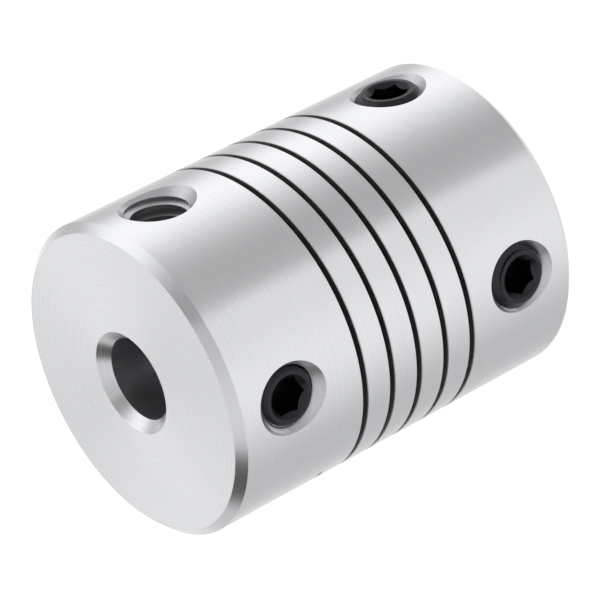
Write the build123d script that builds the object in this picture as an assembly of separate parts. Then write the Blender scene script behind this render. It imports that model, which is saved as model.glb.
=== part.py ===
"""One-piece helical beam shaft coupling, 5 mm to 8 mm, with four M4 cup-point set screws.

The coupling stands on its lower hub, with its shaft axis on +Z and its origin at the middle of the bottom face.
The body is one turned, drilled and saw-cut bar of aluminium: two hubs joined by a single continuous helical beam.
Each hub has two tapped holes a quarter turn apart, one facing -Y (front) and one facing +X (side).
All lengths are in millimetres and all angles in degrees.
"""

import math
import os

from build123d import *

# ---- Turned body -------------------------------------------------------------------------------------------------
BODY_DIAMETER = 19.0
BODY_LENGTH = 25.0
END_CHAMFER = 0.5

# ---- Bores, drilled from the two ends until they meet ------------------------------------------------------------
UPPER_BORE_DIAMETER = 5.0
LOWER_BORE_DIAMETER = 8.0
LOWER_BORE_DEPTH = 12.5
BORE_CHAMFER = 0.6
DRILL_POINT_ANGLE = 118.0

# ---- Helical cut -------------------------------------------------------------------------------------------------
CUT_WIDTH = 0.35
CUT_PITCH = 2.0
CUT_TURNS = 5.0
CUT_STEPS_PER_TURN = 24  # radial lines that shape the walls of the cut
CUT_MIDDLE_ANGLE = -12.7  # about +Z from +X, where the middle of the cut lies
SAW_DIAMETER = 20.0  # its round edge shapes the two ends of the cut
SAW_BREAKTHROUGH = 0.5  # how far the saw reaches past the wall of the bore

# ---- Set screws, M4 x 4 with a hexagon socket and a cup point -----------------------------------------------------
SCREW_DIAMETER = 4.0
SCREW_LENGTH = 4.0
SCREW_TOP_CHAMFER = 0.3
SCREW_POINT_CHAMFER = 0.75
CUP_DIAMETER = 2.0
CUP_ANGLE = 118.0
SOCKET_ACROSS_FLATS = 2.0
SOCKET_DEPTH = 1.8
SOCKET_LEAD_IN = 0.15

# ---- Tapped holes ------------------------------------------------------------------------------------------------
HOLE_CLEARANCE = 0.04  # radial, round the screw's thread
HOLE_COUNTERSINK = 0.25
HOLE_END_DISTANCE = 4.0  # from each end face to the axis of its holes

# How far each screw's outer end lies below the crest of the body, as the screws are left in their holes.
UPPER_FRONT_SINK = 0.35
UPPER_SIDE_SINK = 2.95
LOWER_FRONT_SINK = 0.05
LOWER_SIDE_SINK = 0.05

# ---- Worked out from the sizes above -----------------------------------------------------------------------------
BODY_RADIUS = BODY_DIAMETER / 2
UPPER_BORE_RADIUS = UPPER_BORE_DIAMETER / 2
LOWER_BORE_RADIUS = LOWER_BORE_DIAMETER / 2
DRILL_POINT_HEIGHT = (LOWER_BORE_RADIUS - UPPER_BORE_RADIUS) / math.tan(math.radians(DRILL_POINT_ANGLE / 2))
CUT_HEIGHT = CUT_PITCH * CUT_TURNS
CUT_BOTTOM = (BODY_LENGTH - CUT_HEIGHT) / 2
CUT_TOP = CUT_BOTTOM + CUT_HEIGHT
SCREW_RADIUS = SCREW_DIAMETER / 2
HOLE_RADIUS = SCREW_RADIUS + HOLE_CLEARANCE
FRONT = -90.0
SIDE = 0.0


def ring_chamfer(radius, height, size, direction):
    """Cone that breaks the mouth of a bore: it opens from the bore's wall towards an end face."""
    base = Plane(origin=(0, 0, height - direction * size), z_dir=(0, 0, direction))
    return loft([base * Circle(radius), base.offset(size) * Circle(radius + size)])


def turned_bar():
    """Bar turned to size, with a chamfer on both ends."""
    bar = Cylinder(BODY_RADIUS, BODY_LENGTH, align=(Align.CENTER, Align.CENTER, Align.MIN))
    ends = bar.edges().filter_by(GeomType.CIRCLE)
    return chamfer(ends, END_CHAMFER)


def shaft_bores():
    """The lower bore with its drill point, the upper bore through the rest, and both mouth chamfers."""
    upright = (Align.CENTER, Align.CENTER, Align.MIN)
    lower = Cylinder(LOWER_BORE_RADIUS, LOWER_BORE_DEPTH, align=upright)
    point = Pos(0, 0, LOWER_BORE_DEPTH) * Cone(LOWER_BORE_RADIUS, UPPER_BORE_RADIUS, DRILL_POINT_HEIGHT, align=upright)
    upper = Pos(0, 0, LOWER_BORE_DEPTH) * Cylinder(UPPER_BORE_RADIUS, BODY_LENGTH - LOWER_BORE_DEPTH, align=upright)
    lower_mouth = ring_chamfer(LOWER_BORE_RADIUS, 0, BORE_CHAMFER, -1)
    upper_mouth = ring_chamfer(UPPER_BORE_RADIUS, BODY_LENGTH, BORE_CHAMFER, 1)
    return lower + point + upper + lower_mouth + upper_mouth


def flat_face(*corners):
    """Flat face on three or more corner points."""
    return Face(Wire.make_polygon(corners, close=True))


def helical_cut():
    """One right-handed saw cut from the outside to the bores, which starts at its lower end on +X.

    Its two walls are strips of flat triangles between radial lines, at even steps round the helix.
    """
    steps = round(CUT_TURNS * CUT_STEPS_PER_TURN)
    step_angle = math.radians(360 * CUT_TURNS / steps)
    inner = UPPER_BORE_RADIUS - SAW_BREAKTHROUGH
    outer = (BODY_RADIUS + SAW_BREAKTHROUGH) / math.cos(step_angle / 2)

    def corner(radius, step, side):
        angle = step * step_angle
        height = CUT_BOTTOM + CUT_HEIGHT * step / steps + side * CUT_WIDTH / 2
        return (radius * math.cos(angle), radius * math.sin(angle), height)

    faces = []
    for here in range(steps):
        there = here + 1
        for side in (-1, 1):
            near_in, near_out = corner(inner, here, side), corner(outer, here, side)
            far_in, far_out = corner(inner, there, side), corner(outer, there, side)
            faces.append(flat_face(near_in, near_out, far_out))
            faces.append(flat_face(near_in, far_out, far_in))
        for radius in (inner, outer):
            low_edge = corner(radius, here, -1), corner(radius, there, -1)
            high_edge = corner(radius, there, 1), corner(radius, here, 1)
            faces.append(flat_face(*low_edge, *high_edge))
    for end in (0, steps):
        low_edge = corner(inner, end, -1), corner(outer, end, -1)
        high_edge = corner(outer, end, 1), corner(inner, end, 1)
        faces.append(flat_face(*low_edge, *high_edge))
    return Solid(Shell(faces))


def saw_run_out(angle, height, bore_radius):
    """Disc that the saw cuts where it stops, tilted to the helix at the outside of the body."""
    reach = bore_radius - SAW_BREAKTHROUGH + SAW_DIAMETER / 2
    lead_angle = math.degrees(math.atan(CUT_PITCH / (math.pi * BODY_DIAMETER)))
    disc = Rot(lead_angle, 0, 0) * Cylinder(SAW_DIAMETER / 2, CUT_WIDTH)
    return Pos(0, 0, height) * Rot(0, 0, angle) * Pos(reach, 0, 0) * disc


def tapped_hole(height, angle):
    """Radial hole from the bore to the outside, at the thread's full size, with a small countersink."""
    outward = Plane(origin=(0, 0, height), z_dir=(math.cos(math.radians(angle)), math.sin(math.radians(angle)), 0))
    hole = outward * Cylinder(HOLE_RADIUS, BODY_RADIUS, align=(Align.CENTER, Align.CENTER, Align.MIN))
    crest = math.sqrt(BODY_RADIUS**2 - (HOLE_RADIUS + HOLE_COUNTERSINK) ** 2)
    mouth = outward.offset(crest - HOLE_COUNTERSINK) * Cone(
        HOLE_RADIUS,
        HOLE_RADIUS + 2 * HOLE_COUNTERSINK,
        2 * HOLE_COUNTERSINK,
        align=(Align.CENTER, Align.CENTER, Align.MIN),
    )
    return hole + mouth


def coupling_body():
    """The whole aluminium body, in one piece: turned, bored and sawn, then turned to its angle and tapped."""
    body = turned_bar() - shaft_bores() - helical_cut()
    body -= saw_run_out(0, CUT_BOTTOM, LOWER_BORE_RADIUS)
    body -= saw_run_out(360 * CUT_TURNS, CUT_TOP, UPPER_BORE_RADIUS)
    body = Rot(0, 0, CUT_MIDDLE_ANGLE - 180 * CUT_TURNS) * body
    for height in (HOLE_END_DISTANCE, BODY_LENGTH - HOLE_END_DISTANCE):
        for angle in (FRONT, SIDE):
            body -= tapped_hole(height, angle)
    return body


def set_screw(height, angle, sink):
    """Set screw in its hole, with its socket facing outwards and its cup point towards the shaft."""
    screw_outline = Polyline(
        (0, 0),
        (SCREW_RADIUS - SCREW_POINT_CHAMFER, 0),
        (SCREW_RADIUS, SCREW_POINT_CHAMFER),
        (SCREW_RADIUS, SCREW_LENGTH - SCREW_TOP_CHAMFER),
        (SCREW_RADIUS - SCREW_TOP_CHAMFER, SCREW_LENGTH),
        (0, SCREW_LENGTH),
        close=True,
    )
    screw = revolve(Plane.XZ * make_face(screw_outline), Axis.Z)
    upright = (Align.CENTER, Align.CENTER, Align.MIN)
    cup_height = CUP_DIAMETER / 2 / math.tan(math.radians(CUP_ANGLE / 2))
    screw -= Cone(CUP_DIAMETER / 2, 0, cup_height, align=upright)
    corner_radius = SOCKET_ACROSS_FLATS / math.sqrt(3)
    socket = Pos(0, 0, SCREW_LENGTH - SOCKET_DEPTH) * extrude(RegularPolygon(corner_radius, 6), SOCKET_DEPTH)
    lead_in = Pos(0, 0, SCREW_LENGTH - SOCKET_LEAD_IN) * Cone(
        corner_radius - SOCKET_LEAD_IN, corner_radius, SOCKET_LEAD_IN, align=upright
    )
    screw -= socket + lead_in
    outward = Plane(origin=(0, 0, height), z_dir=(math.cos(math.radians(angle)), math.sin(math.radians(angle)), 0))
    return outward.offset(BODY_RADIUS - sink - SCREW_LENGTH) * screw


def main():
    """Build each piece and write it to its own STEP file."""
    lower = HOLE_END_DISTANCE
    upper = BODY_LENGTH - HOLE_END_DISTANCE
    pieces = {
        "coupling_body": coupling_body(),
        "set_screw_upper_front": set_screw(upper, FRONT, UPPER_FRONT_SINK),
        "set_screw_upper_side": set_screw(upper, SIDE, UPPER_SIDE_SINK),
        "set_screw_lower_front": set_screw(lower, FRONT, LOWER_FRONT_SINK),
        "set_screw_lower_side": set_screw(lower, SIDE, LOWER_SIDE_SINK),
    }
    os.makedirs("parts", exist_ok=True)
    for name, piece in pieces.items():
        export_step(piece, f"parts/{name}.step")


main()
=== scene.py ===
"""Looks of a one-piece helical beam shaft coupling with four M4 set screws.

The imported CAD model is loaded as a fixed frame. Two sub-assemblies are modelled around it: the
aluminium body with its helical cut, bores and tapped holes, and the set screws with real threads,
sockets and cup points. Pieces are shaped in millimetres, as in a workshop, and each finished mesh
is then brought to metres in the frame's own place.
"""

import logging
import math
from contextlib import contextmanager
from dataclasses import dataclass, field
from enum import Enum
from typing import Iterator, Sequence

import bpy
from mathutils import Matrix, Vector

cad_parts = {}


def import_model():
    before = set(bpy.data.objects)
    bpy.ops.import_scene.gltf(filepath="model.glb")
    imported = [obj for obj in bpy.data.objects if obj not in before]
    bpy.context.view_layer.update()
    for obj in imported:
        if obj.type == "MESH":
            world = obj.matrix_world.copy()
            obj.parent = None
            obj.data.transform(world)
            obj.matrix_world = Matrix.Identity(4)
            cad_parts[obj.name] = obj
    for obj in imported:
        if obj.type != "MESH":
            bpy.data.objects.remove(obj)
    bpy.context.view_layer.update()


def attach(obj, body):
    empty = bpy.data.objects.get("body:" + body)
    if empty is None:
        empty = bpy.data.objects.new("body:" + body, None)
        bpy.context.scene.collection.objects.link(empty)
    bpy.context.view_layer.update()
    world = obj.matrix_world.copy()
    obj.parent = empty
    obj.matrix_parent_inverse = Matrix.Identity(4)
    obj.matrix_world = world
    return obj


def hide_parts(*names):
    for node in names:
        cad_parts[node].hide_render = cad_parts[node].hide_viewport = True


LOG = logging.getLogger("coupling")

MM = 0.001  # metres in a millimetre
WELD = 1e-4  # points nearer than this, in millimetres, are one point
SMOOTH_ANGLE = math.radians(28)  # edges sharper than this stay crisp
NOISE_LOW, NOISE_HIGH = 0.3, 0.7  # nearly all of a noise pattern lies between these

Profile = Sequence[tuple[float, float]]


class Hub(Enum):
    """The two hubs, by where they are when the coupling stands up."""

    LOWER = "lower"
    UPPER = "upper"


class Facing(Enum):
    """The two directions that the tapped holes face, as degrees about +Z from +X."""

    FRONT = -90.0
    SIDE = 0.0


class Cut(Enum):
    """The tool that made a face of the body, as its material slot."""

    TURNED = 0
    SAWN = 1
    DRILLED = 2


# ---- Workshop helpers ----------------------------------------------------------------------------


def deselect_all() -> None:
    """Leave object mode with nothing selected."""
    if bpy.context.object and bpy.context.object.mode != "OBJECT":
        bpy.ops.object.mode_set(mode="OBJECT")
    bpy.ops.object.select_all(action="DESELECT")


def activate(piece: bpy.types.Object) -> None:
    """Select one piece alone and make it active.

    Args:
        piece: The object that the next operators act on.
    """
    deselect_all()
    piece.select_set(True)
    bpy.context.view_layer.objects.active = piece


@contextmanager
def editing(piece: bpy.types.Object, everything: bool = False) -> Iterator[None]:
    """Edit mode on one piece, left again at the end.

    Args:
        piece: The mesh object to edit.
        everything: True selects all of the mesh, False none of it.

    Yields:
        Nothing; the operators inside the block act on the piece.
    """
    activate(piece)
    bpy.ops.object.mode_set(mode="EDIT")
    bpy.ops.mesh.select_mode(type="VERT")
    bpy.ops.mesh.select_all(action="SELECT" if everything else "DESELECT")
    yield
    bpy.ops.object.mode_set(mode="OBJECT")


def place(piece: bpy.types.Object, matrix: Matrix) -> bpy.types.Object:
    """Move a piece and apply its place to its mesh.

    Args:
        piece: The object to move.
        matrix: Where it goes, in millimetres.

    Returns:
        The same object, unturned and unscaled at the origin.
    """
    activate(piece)
    piece.matrix_world = matrix @ piece.matrix_world
    bpy.ops.object.transform_apply(location=True, rotation=True, scale=True)
    return piece


def apply_modifier(piece: bpy.types.Object, kind: str, **settings: object) -> bpy.types.Object:
    """Add a modifier with its settings and apply it.

    Args:
        piece: The object that gets the modifier.
        kind: Blender's name for the modifier.
        **settings: Attributes of the modifier.

    Returns:
        The same object.
    """
    activate(piece)
    modifier = piece.modifiers.new(kind.title(), kind)
    for setting, value in settings.items():
        setattr(modifier, setting, value)
    bpy.ops.object.modifier_apply(modifier=modifier.name)
    return piece


def combine(piece: bpy.types.Object, tool: bpy.types.Object, operation: str) -> bpy.types.Object:
    """Cut a piece with a tool, or keep what the two share, and throw the tool away.

    Args:
        piece: The piece that is worked on.
        tool: The shape that works on it.
        operation: DIFFERENCE or INTERSECT.

    Returns:
        The worked piece.
    """
    apply_modifier(piece, "BOOLEAN", operation=operation, object=tool, solver="MANIFOLD")
    if not piece.data.polygons:
        raise RuntimeError(f"{piece.name} came out empty after {tool.name}")
    bpy.data.objects.remove(tool)
    return piece


def face_outwards(piece: bpy.types.Object) -> bpy.types.Object:
    """Merge doubled points and turn all faces outwards.

    Args:
        piece: The closed shape to mend.

    Returns:
        The same object.
    """
    with editing(piece, everything=True):
        bpy.ops.mesh.remove_doubles(threshold=WELD)
        bpy.ops.mesh.normals_make_consistent(inside=False)
    return piece


def lathe(name: str, outline: Profile, segments: int) -> bpy.types.Object:
    """Turn a closed round shape by extruding a disc from ring to ring.

    Args:
        name: Name of the new object.
        outline: Radius and height of each ring, from the bottom up, in millimetres.
        segments: Flat facets round the shape.

    Returns:
        The turned shape on +Z.
    """
    deselect_all()
    radius, height = outline[0]
    bpy.ops.mesh.primitive_circle_add(
        vertices=segments, radius=radius, fill_type="NGON", location=(0, 0, height)
    )
    shape = bpy.context.object
    shape.name = name
    bpy.ops.object.transform_apply(location=True, rotation=True, scale=True)
    with editing(shape, everything=True):
        for next_radius, next_height in outline[1:]:
            rise = (0, 0, next_height - height)
            bpy.ops.mesh.extrude_region_move(TRANSFORM_OT_translate={"value": rise})
            if next_radius == 0:
                bpy.ops.mesh.merge(type="CENTER")
                break
            grow = next_radius / radius
            bpy.ops.transform.resize(value=(grow, grow, 1), center_override=(0, 0, next_height))
            radius, height = next_radius, next_height
    return face_outwards(shape)


def sweep(name: str, outline: Profile, pitch: float, turns: int, steps: int) -> bpy.types.Object:
    """Draw an outline beside the axis and sweep it up a right-handed helix.

    Args:
        name: Name of the new object.
        outline: Radius and height of each corner; it is closed if it comes back to its start.
        pitch: Rise in a turn.
        turns: Number of turns.
        steps: Flat steps in a turn.

    Returns:
        The swept surface on +Z, open at its ends.
    """
    deselect_all()
    bpy.ops.mesh.primitive_plane_add(size=1, location=(0, 0, 0))
    swept = bpy.context.object
    swept.name = name
    with editing(swept, everything=True):
        bpy.ops.mesh.merge(type="CENTER")
        radius, height = outline[0]
        bpy.ops.transform.translate(value=(radius, 0, height))
        for next_radius, next_height in outline[1:]:
            step = (next_radius - radius, 0, next_height - height)
            bpy.ops.mesh.extrude_region_move(TRANSFORM_OT_translate={"value": step})
            radius, height = next_radius, next_height
        bpy.ops.mesh.select_all(action="SELECT")
        bpy.ops.mesh.remove_doubles(threshold=WELD)
    apply_modifier(
        swept,
        "SCREW",
        axis="Z",
        angle=2 * math.pi,
        screw_offset=pitch,
        iterations=turns,
        steps=steps,
        render_steps=steps,
        use_merge_vertices=False,
    )
    with editing(swept, everything=True):
        bpy.ops.mesh.remove_doubles(threshold=WELD)
    return swept


def outward_matrix(
    height: float, facing: Facing, distance: float = 0.0, turn: float = 0.0
) -> Matrix:
    """Place of a piece that was made on +Z and belongs in a radial hole.

    Args:
        height: Height of the hole's axis.
        facing: Which way the hole faces.
        distance: How far along the hole's axis the piece moves from the body's axis.
        turn: Degrees that the piece is turned about its own axis first.

    Returns:
        The matrix, in millimetres.
    """
    lift = Matrix.Translation((0, 0, height)) @ Matrix.Rotation(math.radians(facing.value), 4, "Z")
    tip = Matrix.Rotation(math.radians(90), 4, "Y") @ Matrix.Translation((0, 0, distance))
    return lift @ tip @ Matrix.Rotation(math.radians(turn), 4, "Z")


def to_metres(piece: bpy.types.Object) -> bpy.types.Object:
    """Scale a finished piece from millimetres to metres and smooth its round faces.

    Args:
        piece: The finished piece, in millimetres.

    Returns:
        The same object.
    """
    place(piece, Matrix.Scale(MM, 4))
    activate(piece)
    bpy.ops.object.shade_smooth_by_angle(angle=SMOOTH_ANGLE)
    return piece


# ---- Finishes ------------------------------------------------------------------------------------


def linear(hex_colour: str) -> tuple[float, float, float, float]:
    """Turn an sRGB hex colour into the linear colour that Blender's sockets take.

    Args:
        hex_colour: Colour such as "#D2D3D5".

    Returns:
        Linear red, green, blue and an alpha of one.
    """
    levels = [int(hex_colour[i : i + 2], 16) / 255 for i in (1, 3, 5)]
    red, green, blue = (v / 12.92 if v <= 0.04045 else ((v + 0.055) / 1.055) ** 2.4 for v in levels)
    return red, green, blue, 1.0


def add_node(
    tree: bpy.types.NodeTree,
    kind: str,
    links: dict[str | int, object] | None = None,
    **settings: object,
) -> bpy.types.Node:
    """Add a node with its settings and links.

    Args:
        tree: Node tree that the node joins.
        kind: Blender's type name of the node.
        links: Input name or index, mapped to a socket to link or a plain value to set.
        **settings: Attributes of the node.

    Returns:
        The new node.
    """
    node = tree.nodes.new(kind)
    for setting, value in settings.items():
        setattr(node, setting, value)
    for key, value in (links or {}).items():
        if isinstance(value, bpy.types.NodeSocket):
            tree.links.new(value, node.inputs[key])
        else:
            node.inputs[key].default_value = value
    return node


def blank_material(name: str) -> tuple[bpy.types.Material, bpy.types.NodeTree, bpy.types.Node]:
    """Make a material that holds nothing but its output.

    Args:
        name: Name of the material.

    Returns:
        The material, its node tree and its output node.
    """
    material = bpy.data.materials.new(name)
    material.use_nodes = True
    tree = material.node_tree
    tree.nodes.clear()
    return material, tree, tree.nodes.new("ShaderNodeOutputMaterial")


def set_ramp(
    node: bpy.types.Node, stops: Sequence[tuple[float, float]], interpolation: str
) -> None:
    """Give a colour ramp grey stops.

    Args:
        node: The colour ramp.
        stops: Place and grey level of each stop, in order.
        interpolation: How the ramp runs between its stops.
    """
    ramp = node.color_ramp
    ramp.interpolation = interpolation
    while len(ramp.elements) < len(stops):
        ramp.elements.new(0.5)  # the loop below gives it its place
    for element, (position, level) in zip(ramp.elements, stops):
        element.position = position
        element.color = (level, level, level, 1.0)


@dataclass(frozen=True)
class TurnedAluminium:
    """Aluminium bar, finished on a lathe with a fine feed.

    The tool leaves grooves round the axis, so light spreads along the axis and stays crisp across
    it: that gives the long even bands of a turned bar. The feed marks themselves are faint rings.
    """

    name: str = "turned_aluminium"
    colour: str = "#DADBDD"
    worn_colour: str = "#CFD0D3"
    roughness: float = 0.30
    roughness_spread: float = 0.035
    anisotropic: float = 0.80
    lay_turn: float = 0.25  # a quarter turn from the tangent, which runs round the axis
    feed_mm: float = 0.12  # a real feed of 0.05 mm is too fine to show
    mark_depth_mm: float = 0.0009
    cloud_mm: float = 2.5  # size of the soft patches that handling leaves

    def make(self) -> bpy.types.Material:
        """Build the material.

        Returns:
            The finished material.
        """
        material, tree, output = blank_material(self.name)
        place_on = add_node(tree, "ShaderNodeTexCoord").outputs["Object"]
        parts = add_node(tree, "ShaderNodeSeparateXYZ", {0: place_on})
        flat = add_node(
            tree,
            "ShaderNodeCombineXYZ",
            {"X": parts.outputs["X"], "Y": parts.outputs["Y"]},
        )
        radius = add_node(tree, "ShaderNodeVectorMath", {0: flat.outputs[0]}, operation="LENGTH")
        along = add_node(
            tree,
            "ShaderNodeMath",
            {0: parts.outputs["Z"], 1: radius.outputs["Value"]},
            operation="ADD",
        )
        marks = add_node(
            tree,
            "ShaderNodeTexNoise",
            {
                "W": along.outputs[0],
                "Scale": 1 / (self.feed_mm * MM),
                "Detail": 3.0,
                "Roughness": 0.6,
            },
            noise_dimensions="1D",
        )
        clouds = add_node(
            tree,
            "ShaderNodeTexNoise",
            {"Vector": place_on, "Scale": 1 / (self.cloud_mm * MM), "Detail": 4.0},
        )
        blend = add_node(
            tree,
            "ShaderNodeMath",
            {0: marks.outputs["Fac"], 1: clouds.outputs["Fac"]},
            operation="MULTIPLY",
        )
        colour = add_node(
            tree,
            "ShaderNodeMixRGB",
            {
                "Fac": blend.outputs[0],
                "Color1": linear(self.colour),
                "Color2": linear(self.worn_colour),
            },
        )
        gloss = add_node(
            tree,
            "ShaderNodeMapRange",
            {
                "Value": marks.outputs["Fac"],
                "From Min": NOISE_LOW,
                "From Max": NOISE_HIGH,
                "To Min": self.roughness - self.roughness_spread,
                "To Max": self.roughness + self.roughness_spread,
            },
        )
        bump = add_node(
            tree,
            "ShaderNodeBump",
            {"Height": marks.outputs["Fac"], "Strength": 0.5, "Distance": self.mark_depth_mm * MM},
        )
        round_axis = add_node(tree, "ShaderNodeTangent", direction_type="RADIAL", axis="Z")
        shader = add_node(
            tree,
            "ShaderNodeBsdfPrincipled",
            {
                "Base Color": colour.outputs[0],
                "Metallic": 1.0,
                "Roughness": gloss.outputs[0],
                "Anisotropic": self.anisotropic,
                "Anisotropic Rotation": self.lay_turn,
                "Tangent": round_axis.outputs[0],
                "Normal": bump.outputs[0],
            },
        )
        tree.links.new(shader.outputs[0], output.inputs["Surface"])
        return material


@dataclass(frozen=True)
class CutMetal:
    """Metal as a saw, a drill, a tap or a header leaves it: no lay, only a fine grain."""

    name: str
    colour: str
    grain_colour: str
    roughness: float
    roughness_spread: float
    grain_mm: float
    grain_depth_mm: float

    def make(self) -> bpy.types.Material:
        """Build the material.

        Returns:
            The finished material.
        """
        material, tree, output = blank_material(self.name)
        place_on = add_node(tree, "ShaderNodeTexCoord").outputs["Object"]
        grain = add_node(
            tree,
            "ShaderNodeTexNoise",
            {
                "Vector": place_on,
                "Scale": 1 / (self.grain_mm * MM),
                "Detail": 5.0,
                "Roughness": 0.6,
            },
        )
        colour = add_node(
            tree,
            "ShaderNodeMixRGB",
            {
                "Fac": grain.outputs["Fac"],
                "Color1": linear(self.colour),
                "Color2": linear(self.grain_colour),
            },
        )
        gloss = add_node(
            tree,
            "ShaderNodeMapRange",
            {
                "Value": grain.outputs["Fac"],
                "From Min": NOISE_LOW,
                "From Max": NOISE_HIGH,
                "To Min": self.roughness - self.roughness_spread,
                "To Max": self.roughness + self.roughness_spread,
            },
        )
        bump = add_node(
            tree,
            "ShaderNodeBump",
            {"Height": grain.outputs["Fac"], "Strength": 0.5, "Distance": self.grain_depth_mm * MM},
        )
        shader = add_node(
            tree,
            "ShaderNodeBsdfPrincipled",
            {
                "Base Color": colour.outputs[0],
                "Metallic": 1.0,
                "Roughness": gloss.outputs[0],
                "Normal": bump.outputs[0],
            },
        )
        tree.links.new(shader.outputs[0], output.inputs["Surface"])
        return material


# Freshly sawn and tapped aluminium is a little duller and darker than the turned skin, with no lay
# of its own.
SAWN_ALUMINIUM = CutMetal(
    name="sawn_and_tapped_aluminium",
    colour="#C9CACC",
    grain_colour="#B4B5B8",
    roughness=0.38,
    roughness_spread=0.06,
    grain_mm=0.15,
    grain_depth_mm=0.004,
)

# A drilled and reamed bore is smooth but dull: the tool smears the wall and leaves no bright lay.
# Its colour is also painted a little darker than the turned skin, as painted shade for the inside
# of the bore.
DRILLED_ALUMINIUM_PAINTED_SHADE = CutMetal(
    name="drilled_aluminium_painted_shade",
    colour="#D6D7DA",
    grain_colour="#C8C9CC",
    roughness=0.34,
    roughness_spread=0.05,
    grain_mm=0.20,
    grain_depth_mm=0.002,
)

# Black oxide is a thin, slightly oily skin on alloy steel: nearly black, with a soft grey sheen.
BLACK_OXIDE_STEEL = CutMetal(
    name="black_oxide_alloy_steel",
    colour="#3A3B3F",
    grain_colour="#2A2B2E",
    roughness=0.36,
    roughness_spread=0.07,
    grain_mm=0.12,
    grain_depth_mm=0.003,
)


# ---- Threads -------------------------------------------------------------------------------------


@dataclass
class Thread:
    """A right-handed metric thread, as a solid threaded rod on +Z. Sizes in millimetres."""

    crest_radius: float
    root_radius: float
    pitch: float = 0.7
    crest_flat: float = 0.088
    steps: int = 48
    flank_angle: float = 30.0

    def rod(self, name: str, first_turn: int, turns: int) -> bpy.types.Object:
        """Sweep the thread's outline into a closed rod.

        Args:
            name: Name of the new object.
            first_turn: Height of the rod's lower end, in pitches.
            turns: Length of the rod, in pitches.

        Returns:
            The rod on +Z, with its phase fixed to the origin.
        """
        flank = (self.crest_radius - self.root_radius) * math.tan(math.radians(self.flank_angle))
        start = first_turn * self.pitch
        middle = start + self.pitch / 2
        half_crest = self.crest_flat / 2
        outline = (
            (self.root_radius, start),
            (self.root_radius, middle - half_crest - flank),
            (self.crest_radius, middle - half_crest),
            (self.crest_radius, middle + half_crest),
            (self.root_radius, middle + half_crest + flank),
            (self.root_radius, start + self.pitch),
        )
        rod = sweep(name, outline, self.pitch, turns, self.steps)
        # The outline is a pitch high too, and each point lies a pitch beyond the end it closes.
        self._close_ends(rod, start - self.pitch, start + (turns + 2) * self.pitch)
        return face_outwards(rod)

    def _close_ends(self, rod: bpy.types.Object, low: float, high: float) -> None:
        """Draw the two open ends of a rod together, each to a point on its axis.

        Args:
            rod: The swept thread.
            low: Height of the lower point.
            high: Height of the upper point.
        """
        with editing(rod):
            bpy.ops.mesh.select_mode(type="EDGE")
            bpy.ops.mesh.select_non_manifold(
                extend=False,
                use_wire=False,
                use_boundary=True,
                use_multi_face=False,
                use_non_contiguous=False,
                use_verts=False,
            )
            bpy.ops.mesh.extrude_edges_move(TRANSFORM_OT_translate={"value": (0, 0, 0)})
            bpy.ops.mesh.select_mode(type="VERT")
            bpy.ops.mesh.merge(type="COLLAPSE")
        near_axis = self.root_radius / 2
        points = [v for v in rod.data.vertices if math.hypot(v.co.x, v.co.y) < near_axis]
        if len(points) != 2:
            raise RuntimeError(f"{rod.name} has {len(points)} end points, not 2")
        for point, apex in zip(sorted(points, key=lambda v: v.co.z), (low, high)):
            point.co = (0, 0, apex)


TAPPED_THREAD = Thread(crest_radius=2.03, root_radius=1.65)
SCREW_THREAD = Thread(crest_radius=1.97, root_radius=1.57)


@dataclass(frozen=True)
class TappedHole:
    """One tapped hole and how the screw sits in it.

    The tap's start decides how the thread, and the socket of the screw in it, are turned.
    """

    hub: Hub
    facing: Facing
    sink: float  # how far the screw's outer end lies below the crest of the body
    tap_start: float  # degrees

    @property
    def name(self) -> str:
        """Hub and side in one word, as the frame has it."""
        return f"{self.hub.value}_{self.facing.name.lower()}"


HOLES = (
    TappedHole(Hub.UPPER, Facing.FRONT, sink=0.35, tap_start=0.0),
    TappedHole(Hub.UPPER, Facing.SIDE, sink=2.95, tap_start=0.0),
    TappedHole(Hub.LOWER, Facing.FRONT, sink=0.05, tap_start=0.0),
    TappedHole(Hub.LOWER, Facing.SIDE, sink=0.05, tap_start=0.0),
)


# ---- The aluminium body --------------------------------------------------------------------------


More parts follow.
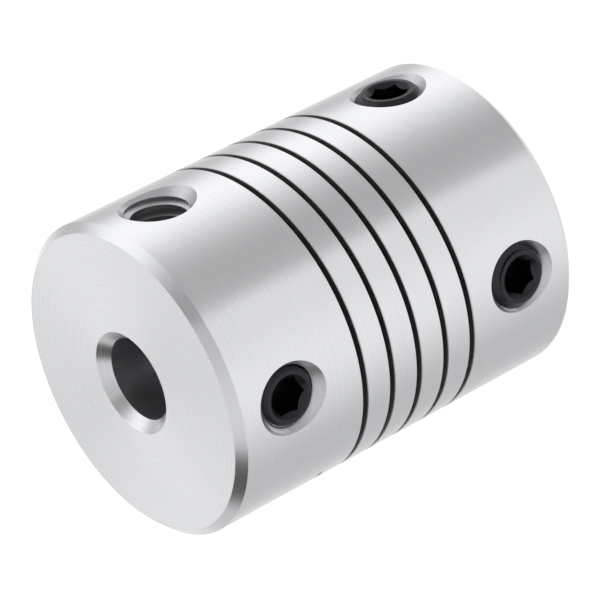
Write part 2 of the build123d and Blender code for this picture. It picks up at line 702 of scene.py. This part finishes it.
@dataclass
class CouplingBody:
    """The one-piece body: two hubs joined by a single helical beam. Sizes in millimetres."""

    radius: float = 9.5
    length: float = 25.0
    end_chamfer: float = 0.5
    upper_bore_radius: float = 2.5
    lower_bore_radius: float = 4.0
    lower_bore_depth: float = 12.5
    bore_chamfer: float = 0.6
    drill_point_angle: float = 118.0
    cut_width: float = 0.35
    cut_deburr: float = 0.04  # bevel that a deburring brush leaves on the edges of the cut
    cut_pitch: float = 2.0
    cut_turns: int = 5
    cut_middle_angle: float = -12.7
    saw_radius: float = 10.0
    saw_breakthrough: float = 0.5
    countersink: float = 0.06
    hole_end_distance: float = 4.0
    tap_first_turn: int = 1  # height of the tap's inner end on its axis, in pitches
    tap_turns: int = 14
    skin_segments: int = 720
    bore_segments: int = 240
    hole_segments: int = 96
    cut_steps: int = 180
    overrun: float = 0.3  # how far a cutting tool stands out of what it cuts
    on_surface: float = 0.02  # a face no farther off than this lies on a surface
    end_face_rise: float = 0.5  # upright part of the normal that makes a face part of an end
    straight_in: float = 0.99  # inward part of the normal that makes a face part of a bore
    turned: TurnedAluminium = field(default_factory=TurnedAluminium)
    sawn: CutMetal = SAWN_ALUMINIUM
    # the bore's finish, whose darker colour is partly painted shade
    drilled: CutMetal = DRILLED_ALUMINIUM_PAINTED_SHADE

    @property
    def cut_bottom(self) -> float:
        """Height of the lower end of the helical cut."""
        return (self.length - self.cut_pitch * self.cut_turns) / 2

    def hole_height(self, hub: Hub) -> float:
        """Height of the axis of a hub's tapped holes."""
        return self.length - self.hole_end_distance if hub is Hub.UPPER else self.hole_end_distance

    def bar(self) -> bpy.types.Object:
        """Turn the bar, with a chamfer on both ends.

        Returns:
            The bar on +Z.
        """
        outline = ((self.radius, 0), (self.radius, self.length))
        bar = lathe("coupling_body_turned", outline, self.skin_segments)
        with editing(bar):
            bpy.ops.mesh.select_mode(type="EDGE")
        # The two rims are the edges that lie level.
        for edge in bar.data.edges:
            heights = {round(bar.data.vertices[i].co.z, 4) for i in edge.vertices}
            edge.select = len(heights) == 1
        activate(bar)
        bpy.ops.object.mode_set(mode="EDIT")
        bpy.ops.mesh.bevel(offset=self.end_chamfer, segments=1, affect="EDGES")
        bpy.ops.object.mode_set(mode="OBJECT")
        return bar

    def bore_tool(self) -> bpy.types.Object:
        """Make the drills for both bores, their mouth chamfers and the drill point as one tool.

        Returns:
            The tool on +Z.
        """
        lower, upper = self.lower_bore_radius, self.upper_bore_radius
        mouth, out = self.bore_chamfer, self.overrun
        slope = math.tan(math.radians(self.drill_point_angle / 2))
        point = self.lower_bore_depth + (lower - upper) / slope
        outline = (
            (lower + mouth + out, -out),
            (lower, mouth),
            (lower, self.lower_bore_depth),
            (upper, point),
            (upper, self.length - mouth),
            (upper + mouth + out, self.length + out),
        )
        return lathe("bore_tool", outline, self.bore_segments)

    def helical_cutter(self) -> bpy.types.Object:
        """Sweep the saw's slot up the helix, closed at both ends.

        Returns:
            The cutter, turned to where the cut lies.
        """
        inner = self.upper_bore_radius - self.saw_breakthrough
        mouth = self.radius - self.cut_deburr
        outer = self.radius + self.saw_breakthrough
        half = self.cut_width / 2
        wide = half + outer - mouth  # the section opens at 45 degrees from its mouth outwards
        section = (
            (inner, -half),
            (mouth, -half),
            (outer, -wide),
            (outer, wide),
            (mouth, half),
            (inner, half),
            (inner, -half),
        )
        outline = [(radius, self.cut_bottom + side) for radius, side in section]
        cutter = sweep("helical_cutter", outline, self.cut_pitch, self.cut_turns, self.cut_steps)
        with editing(cutter, everything=True):
            bpy.ops.mesh.fill_holes(sides=len(section) - 1)
        face_outwards(cutter)
        return place(cutter, self.cut_turn())

    def cut_turn(self) -> Matrix:
        """Turn that brings the middle of the cut to its angle."""
        return Matrix.Rotation(math.radians(self.cut_middle_angle - 180 * self.cut_turns), 4, "Z")

    def saw_disc(self, hub: Hub) -> bpy.types.Object:
        """Make the round run-out that the saw leaves at one end of the cut.

        Args:
            hub: The hub that the cut ends in.

        Returns:
            The disc, in its place.
        """
        upper = hub is Hub.UPPER
        bore = self.upper_bore_radius if upper else self.lower_bore_radius
        height = self.length - self.cut_bottom if upper else self.cut_bottom
        half = self.cut_width / 2
        outline = ((self.saw_radius, -half), (self.saw_radius, half))
        disc = lathe("saw_disc", outline, self.bore_segments)
        lead = math.atan(self.cut_pitch / (2 * math.pi * self.radius))
        reach = Matrix.Translation((bore - self.saw_breakthrough + self.saw_radius, 0, height))
        return place(disc, self.cut_turn() @ reach @ Matrix.Rotation(lead, 4, "X"))

    def hole_tools(self, hole: TappedHole) -> list[bpy.types.Object]:
        """Make the tap and the countersink of one hole.

        Args:
            hole: The hole that they cut.

        Returns:
            Both tools, in their place.
        """
        height = self.hole_height(hole.hub)
        tap = TAPPED_THREAD.rod("tap", self.tap_first_turn, self.tap_turns)
        wide = TAPPED_THREAD.crest_radius
        start = math.sqrt(self.radius**2 - (wide + self.countersink) ** 2) - self.countersink
        top = self.radius + self.overrun
        outline = ((wide - self.overrun, start - self.overrun), (wide + top - start, top))
        cone = lathe("countersink", outline, self.hole_segments)
        turned = outward_matrix(height, hole.facing, turn=hole.tap_start)
        return [place(tap, turned), place(cone, turned)]

    def finish_of(self, centre: Vector, normal: Vector) -> Cut:
        """Tell which tool made a face.

        Args:
            centre: Middle of the face.
            normal: Its direction.

        Returns:
            The tool, whose value is the face's material slot.
        """
        near = self.on_surface
        out = Vector((centre.x, centre.y, 0))
        radius = out.length
        upright = abs(normal.z) < near
        on_skin = abs(radius - self.radius) < near and upright
        from_end = min(centre.z, self.length - centre.z)
        on_end = from_end < self.bore_chamfer and abs(normal.z) > self.end_face_rise
        if on_skin or on_end:
            return Cut.TURNED
        aims_in = upright and radius > near and normal.dot(out / radius) < -self.straight_in
        in_bore = radius < self.lower_bore_radius + near and aims_in
        return Cut.DRILLED if in_bore else Cut.SAWN

    def build(self) -> bpy.types.Object:
        """Machine the body, dress it and seat it on its frame body.

        Returns:
            The finished piece.
        """
        body = self.bar()
        combine(body, self.bore_tool(), "DIFFERENCE")
        combine(body, self.helical_cutter(), "DIFFERENCE")
        for hub in Hub:
            combine(body, self.saw_disc(hub), "DIFFERENCE")
        for hole in HOLES:
            for tool in self.hole_tools(hole):
                combine(body, tool, "DIFFERENCE")
        body.data.materials.clear()
        for finish in (self.turned, self.sawn, self.drilled):
            body.data.materials.append(finish.make())
        for polygon in body.data.polygons:
            polygon.material_index = self.finish_of(polygon.center, polygon.normal).value
        to_metres(body)
        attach(body, "body")
        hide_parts("coupling_body")
        return body


# ---- The set screws ------------------------------------------------------------------------------


@dataclass
class SetScrews:
    """M4 x 4 set screws with a hexagon socket and a cup point. Sizes in millimetres."""

    length: float = 4.0
    end_chamfer: float = 0.42
    point_radius: float = 1.25
    cup_radius: float = 1.0
    cup_angle: float = 118.0
    socket_across_flats: float = 2.0
    socket_depth: float = 1.8
    lead_in_radius: float = 1.3
    lead_in_depth: float = 0.35
    thread_first_turn: int = -8  # the thread starts below the cup point and ends above the socket
    thread_turns: int = 10
    segments: int = 96
    finish: CutMetal = BLACK_OXIDE_STEEL
    body: CouplingBody = field(default_factory=CouplingBody)

    def master(self) -> bpy.types.Object:
        """Make a screw on +Z, its socket end at the origin and its thread in phase with a tap's.

        Returns:
            The screw that the others are copied from.
        """
        crest = SCREW_THREAD.crest_radius
        outline = (
            (self.point_radius, -self.length),
            (crest, -self.length + crest - self.point_radius),
            (crest, -self.end_chamfer),
            (crest - self.end_chamfer, 0),
        )
        screw = SCREW_THREAD.rod("set_screw_master", self.thread_first_turn, self.thread_turns)
        combine(screw, lathe("screw_blank", outline, self.segments), "INTERSECT")
        slope = math.tan(math.radians(self.cup_angle / 2))
        out = self.cup_radius / 2  # how far the cup's tool stands out at the side
        cone = (
            (self.cup_radius + out, -self.length - out / slope),
            (0, -self.length + self.cup_radius / slope),
        )
        combine(screw, lathe("cup_tool", cone, self.segments), "DIFFERENCE")
        combine(screw, self.socket_tool(), "DIFFERENCE")
        wide, deep = self.lead_in_radius, self.lead_in_depth
        mouth = ((wide - deep, -deep), (wide + deep, deep))
        combine(screw, lathe("lead_in_tool", mouth, self.segments), "DIFFERENCE")
        return screw

    def socket_tool(self) -> bpy.types.Object:
        """Make the hexagon broach, half of which stands above the screw.

        Returns:
            The tool on +Z.
        """
        deselect_all()
        corner = self.socket_across_flats / math.sqrt(3)
        depth = self.socket_depth
        bpy.ops.mesh.primitive_cylinder_add(
            vertices=6, radius=corner, depth=depth * 2, end_fill_type="NGON", location=(0, 0, 0)
        )
        tool = bpy.context.object
        tool.name = "socket_tool"
        bpy.ops.object.transform_apply(location=True, rotation=True, scale=True)
        return face_outwards(tool)

    def build(self) -> list[bpy.types.Object]:
        """Copy the screw into each hole, in phase with its thread, and seat each copy.

        Returns:
            The four screws.
        """
        master = self.master()
        finish = self.finish.make()
        pitch = SCREW_THREAD.pitch
        screws = []
        for hole in HOLES:
            activate(master)
            bpy.ops.object.duplicate(linked=False)
            screw = bpy.context.object
            screw.name = f"set_screw_{hole.name}_threaded"
            distance = self.body.radius - hole.sink
            turn = hole.tap_start + 360 * distance / pitch
            height = self.body.hole_height(hole.hub)
            place(screw, outward_matrix(height, hole.facing, distance, turn))
            screw.data.materials.clear()
            screw.data.materials.append(finish)
            to_metres(screw)
            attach(screw, f"screw_{hole.name}")
            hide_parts(f"set_screw_{hole.name}")
            screws.append(screw)
        bpy.data.objects.remove(master)
        return screws


# ---- Studio --------------------------------------------------------------------------------------


@dataclass
class Studio:
    """A pale floor, a ring of soft boxes and the camera."""

    camera_place: tuple[float, float, float] = (0.1001, -0.1699, 0.1335)
    camera_right: tuple[float, float, float] = (-0.1598, -0.6331, -0.7574)
    camera_up: tuple[float, float, float] = (0.8868, 0.2451, -0.3919)
    camera_back: tuple[float, float, float] = (0.4337, -0.7343, 0.5222)
    lens_mm: float = 243.1
    sensor_mm: float = 36.0
    floor_size: float = 3.0
    floor_colour: str = "#F4F4F3"
    boxes_from: float = -59.43  # the camera's side, as degrees about +Z from +X
    # Degrees on from there and brightness of the light that stands there, all the way round.
    ring: tuple[tuple[float, float], ...] = (
        (-180, 1.08),
        (-160, 1.02),
        (-142, 0.76),
        (-120, 0.72),
        (-98, 0.74),
        (-80, 0.92),
        (-58, 1.14),
        (-36, 1.18),
        (-8, 1.06),
        (4, 1.04),
        (13, 1.13),
        (22, 0.64),
        (44, 0.56),
        (60, 0.66),
        (76, 1.02),
        (90, 1.38),
        (113, 1.46),
        (125, 1.04),
        (136, 0.66),
        (147, 0.68),
        (157, 0.98),
        (168, 1.20),
        (180, 1.08),
    )
    # A dark card, high up and away from the camera, and the dim ceiling.
    card_azimuth: float = -109.0
    card_elevation: float = 29.0
    card_inner: float = 11.0  # degrees from its middle where it is fully dark
    card_outer: float = 24.0  # and where it ends
    card_level: float = 0.02
    ceiling_level: float = 0.35
    ceiling_from: float = 0.75  # sine of the elevation where the light begins to fall off
    ceiling_to: float = 0.97  # and where it is down to the ceiling's level
    ring_scale: float = 2.0  # a ramp holds nothing above one, so it holds the ring over this
    shadow_share: float = 0.15

    def ring_level(
        self, tree: bpy.types.NodeTree, direction: bpy.types.NodeSocket
    ) -> bpy.types.NodeSocket:
        """Brightness of the ring of soft boxes in a direction.

        Args:
            tree: Node tree that gets the nodes.
            direction: Vector from the middle of the scene.

        Returns:
            A socket with the brightness over ring_scale.
        """
        turn = math.radians(-self.boxes_from)
        rotated = add_node(
            tree,
            "ShaderNodeVectorRotate",
            {"Vector": direction, "Angle": turn},
            rotation_type="Z_AXIS",
        )
        parts = add_node(tree, "ShaderNodeSeparateXYZ", {0: rotated.outputs[0]})
        angle = add_node(
            tree,
            "ShaderNodeMath",
            {0: parts.outputs["Y"], 1: parts.outputs["X"]},
            operation="ARCTAN2",
        )
        share = add_node(
            tree,
            "ShaderNodeMapRange",
            {
                "Value": angle.outputs[0],
                "From Min": -math.pi,
                "From Max": math.pi,
                "To Min": 0.0,
                "To Max": 1.0,
            },
        )
        ramp = add_node(tree, "ShaderNodeValToRGB", {"Fac": share.outputs[0]})
        stops = [((degrees + 180) / 360, level / self.ring_scale) for degrees, level in self.ring]
        set_ramp(ramp, stops, "LINEAR")
        return ramp.outputs["Color"]

    def overhead_level(
        self, tree: bpy.types.NodeTree, direction: bpy.types.NodeSocket
    ) -> bpy.types.NodeSocket:
        """Share of the ring's light that is left beside the dark card and under the ceiling.

        Args:
            tree: Node tree that gets the nodes.
            direction: Vector from the middle of the scene.

        Returns:
            A socket with a share from nought to one.
        """
        azimuth = math.radians(self.boxes_from + self.card_azimuth)
        elevation = math.radians(self.card_elevation)
        flat = math.cos(elevation)
        card = (flat * math.cos(azimuth), flat * math.sin(azimuth), math.sin(elevation))
        towards = add_node(
            tree, "ShaderNodeVectorMath", {0: direction, 1: card}, operation="DOT_PRODUCT"
        )
        beside = add_node(
            tree,
            "ShaderNodeMapRange",
            {
                "Value": towards.outputs["Value"],
                "From Min": math.cos(math.radians(self.card_outer)),
                "From Max": math.cos(math.radians(self.card_inner)),
                "To Min": 1.0,
                "To Max": self.card_level,
            },
            interpolation_type="SMOOTHSTEP",
        )
        parts = add_node(tree, "ShaderNodeSeparateXYZ", {0: direction})
        under = add_node(
            tree,
            "ShaderNodeMapRange",
            {
                "Value": parts.outputs["Z"],
                "From Min": self.ceiling_from,
                "From Max": self.ceiling_to,
                "To Min": 1.0,
                "To Max": self.ceiling_level,
            },
            interpolation_type="SMOOTHSTEP",
        )
        both = add_node(
            tree,
            "ShaderNodeMath",
            {0: beside.outputs[0], 1: under.outputs[0]},
            operation="MULTIPLY",
        )
        return both.outputs[0]

    def light_the_room(self) -> None:
        """Light the scene from a ring of soft boxes and show plain white behind it."""
        world = bpy.data.worlds.new("studio")
        bpy.context.scene.world = world
        world.use_nodes = True
        tree = world.node_tree
        tree.nodes.clear()
        output = tree.nodes.new("ShaderNodeOutputWorld")
        direction = add_node(tree, "ShaderNodeTexCoord").outputs["Generated"]
        ring = self.ring_level(tree, direction)
        overhead = self.overhead_level(tree, direction)
        shaded = add_node(
            tree, "ShaderNodeVectorMath", {0: ring, 1: overhead}, operation="MULTIPLY"
        )
        boxes = add_node(
            tree,
            "ShaderNodeBackground",
            {"Color": shaded.outputs[0], "Strength": self.ring_scale},
        )
        white = add_node(tree, "ShaderNodeBackground", {"Color": (1, 1, 1, 1), "Strength": 1.0})
        seen = add_node(tree, "ShaderNodeLightPath")
        mix = add_node(
            tree,
            "ShaderNodeMixShader",
            {0: seen.outputs["Is Camera Ray"], 1: boxes.outputs[0], 2: white.outputs[0]},
        )
        tree.links.new(mix.outputs[0], output.inputs["Surface"])

    def lay_floor(self) -> bpy.types.Object:
        """Lay the pale floor, white to the camera apart from the shadow on it.

        Returns:
            The floor.
        """
        deselect_all()
        bpy.ops.mesh.primitive_plane_add(size=self.floor_size, location=(0, 0, 0))
        floor = bpy.context.object
        floor.name = "studio_floor"
        material, tree, output = blank_material("matt_white_studio_card")
        pale = add_node(tree, "ShaderNodeBsdfDiffuse", {"Color": linear(self.floor_colour)})
        # Mirrored rays go through the floor, so the metal shows the soft boxes all the way down.
        clear = add_node(tree, "ShaderNodeBsdfTransparent", {"Color": (1, 1, 1, 1)})
        # To the camera a plain glow and a faint matt part, which gives back about half its share,
        # add up to white: only the matt part takes the shadow.
        lit = add_node(
            tree,
            "ShaderNodeEmission",
            {"Color": (1, 1, 1, 1), "Strength": 1 - self.shadow_share / 2},
        )
        grey = (self.shadow_share,) * 3 + (1.0,)
        faint = add_node(tree, "ShaderNodeBsdfDiffuse", {"Color": grey})
        shown = add_node(tree, "ShaderNodeAddShader", {0: lit.outputs[0], 1: faint.outputs[0]})
        seen = add_node(tree, "ShaderNodeLightPath")
        mirrored = add_node(
            tree,
            "ShaderNodeMath",
            {0: seen.outputs["Is Glossy Ray"], 1: seen.outputs["Is Transmission Ray"]},
            operation="MAXIMUM",
        )
        inner = add_node(
            tree,
            "ShaderNodeMixShader",
            {0: mirrored.outputs[0], 1: pale.outputs[0], 2: clear.outputs[0]},
        )
        outer = add_node(
            tree,
            "ShaderNodeMixShader",
            {0: seen.outputs["Is Camera Ray"], 1: inner.outputs[0], 2: shown.outputs[0]},
        )
        tree.links.new(outer.outputs[0], output.inputs["Surface"])
        floor.data.materials.append(material)
        return floor

    def set_camera(self) -> bpy.types.Object:
        """Set up the camera.

        Returns:
            The camera object.
        """
        data = bpy.data.cameras.new("camera")
        data.lens = self.lens_mm
        data.sensor_width = self.sensor_mm
        data.clip_start = 0.01
        camera = bpy.data.objects.new("camera", data)
        bpy.context.scene.collection.objects.link(camera)
        axes = Matrix((self.camera_right, self.camera_up, self.camera_back)).transposed()
        camera.matrix_world = Matrix.Translation(self.camera_place) @ axes.to_4x4()
        bpy.context.scene.camera = camera
        return camera

    def build(self) -> None:
        """Lay the floor, light the room and set the camera."""
        scene = bpy.context.scene
        scene.view_settings.view_transform = "Standard"
        self.lay_floor()
        self.light_the_room()
        self.set_camera()


def main() -> None:
    """Load the frame, build the pieces around it and note how large the result is."""
    logging.basicConfig(level=logging.INFO, format="%(name)s: %(message)s")
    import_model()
    body = CouplingBody()
    pieces = [body.build(), *SetScrews(body=body).build()]
    for piece in pieces:
        piece.data.calc_loop_triangles()
        LOG.info("%s: %d triangles", piece.name, len(piece.data.loop_triangles))
    Studio().build()


if __name__ == "__main__":
    main()
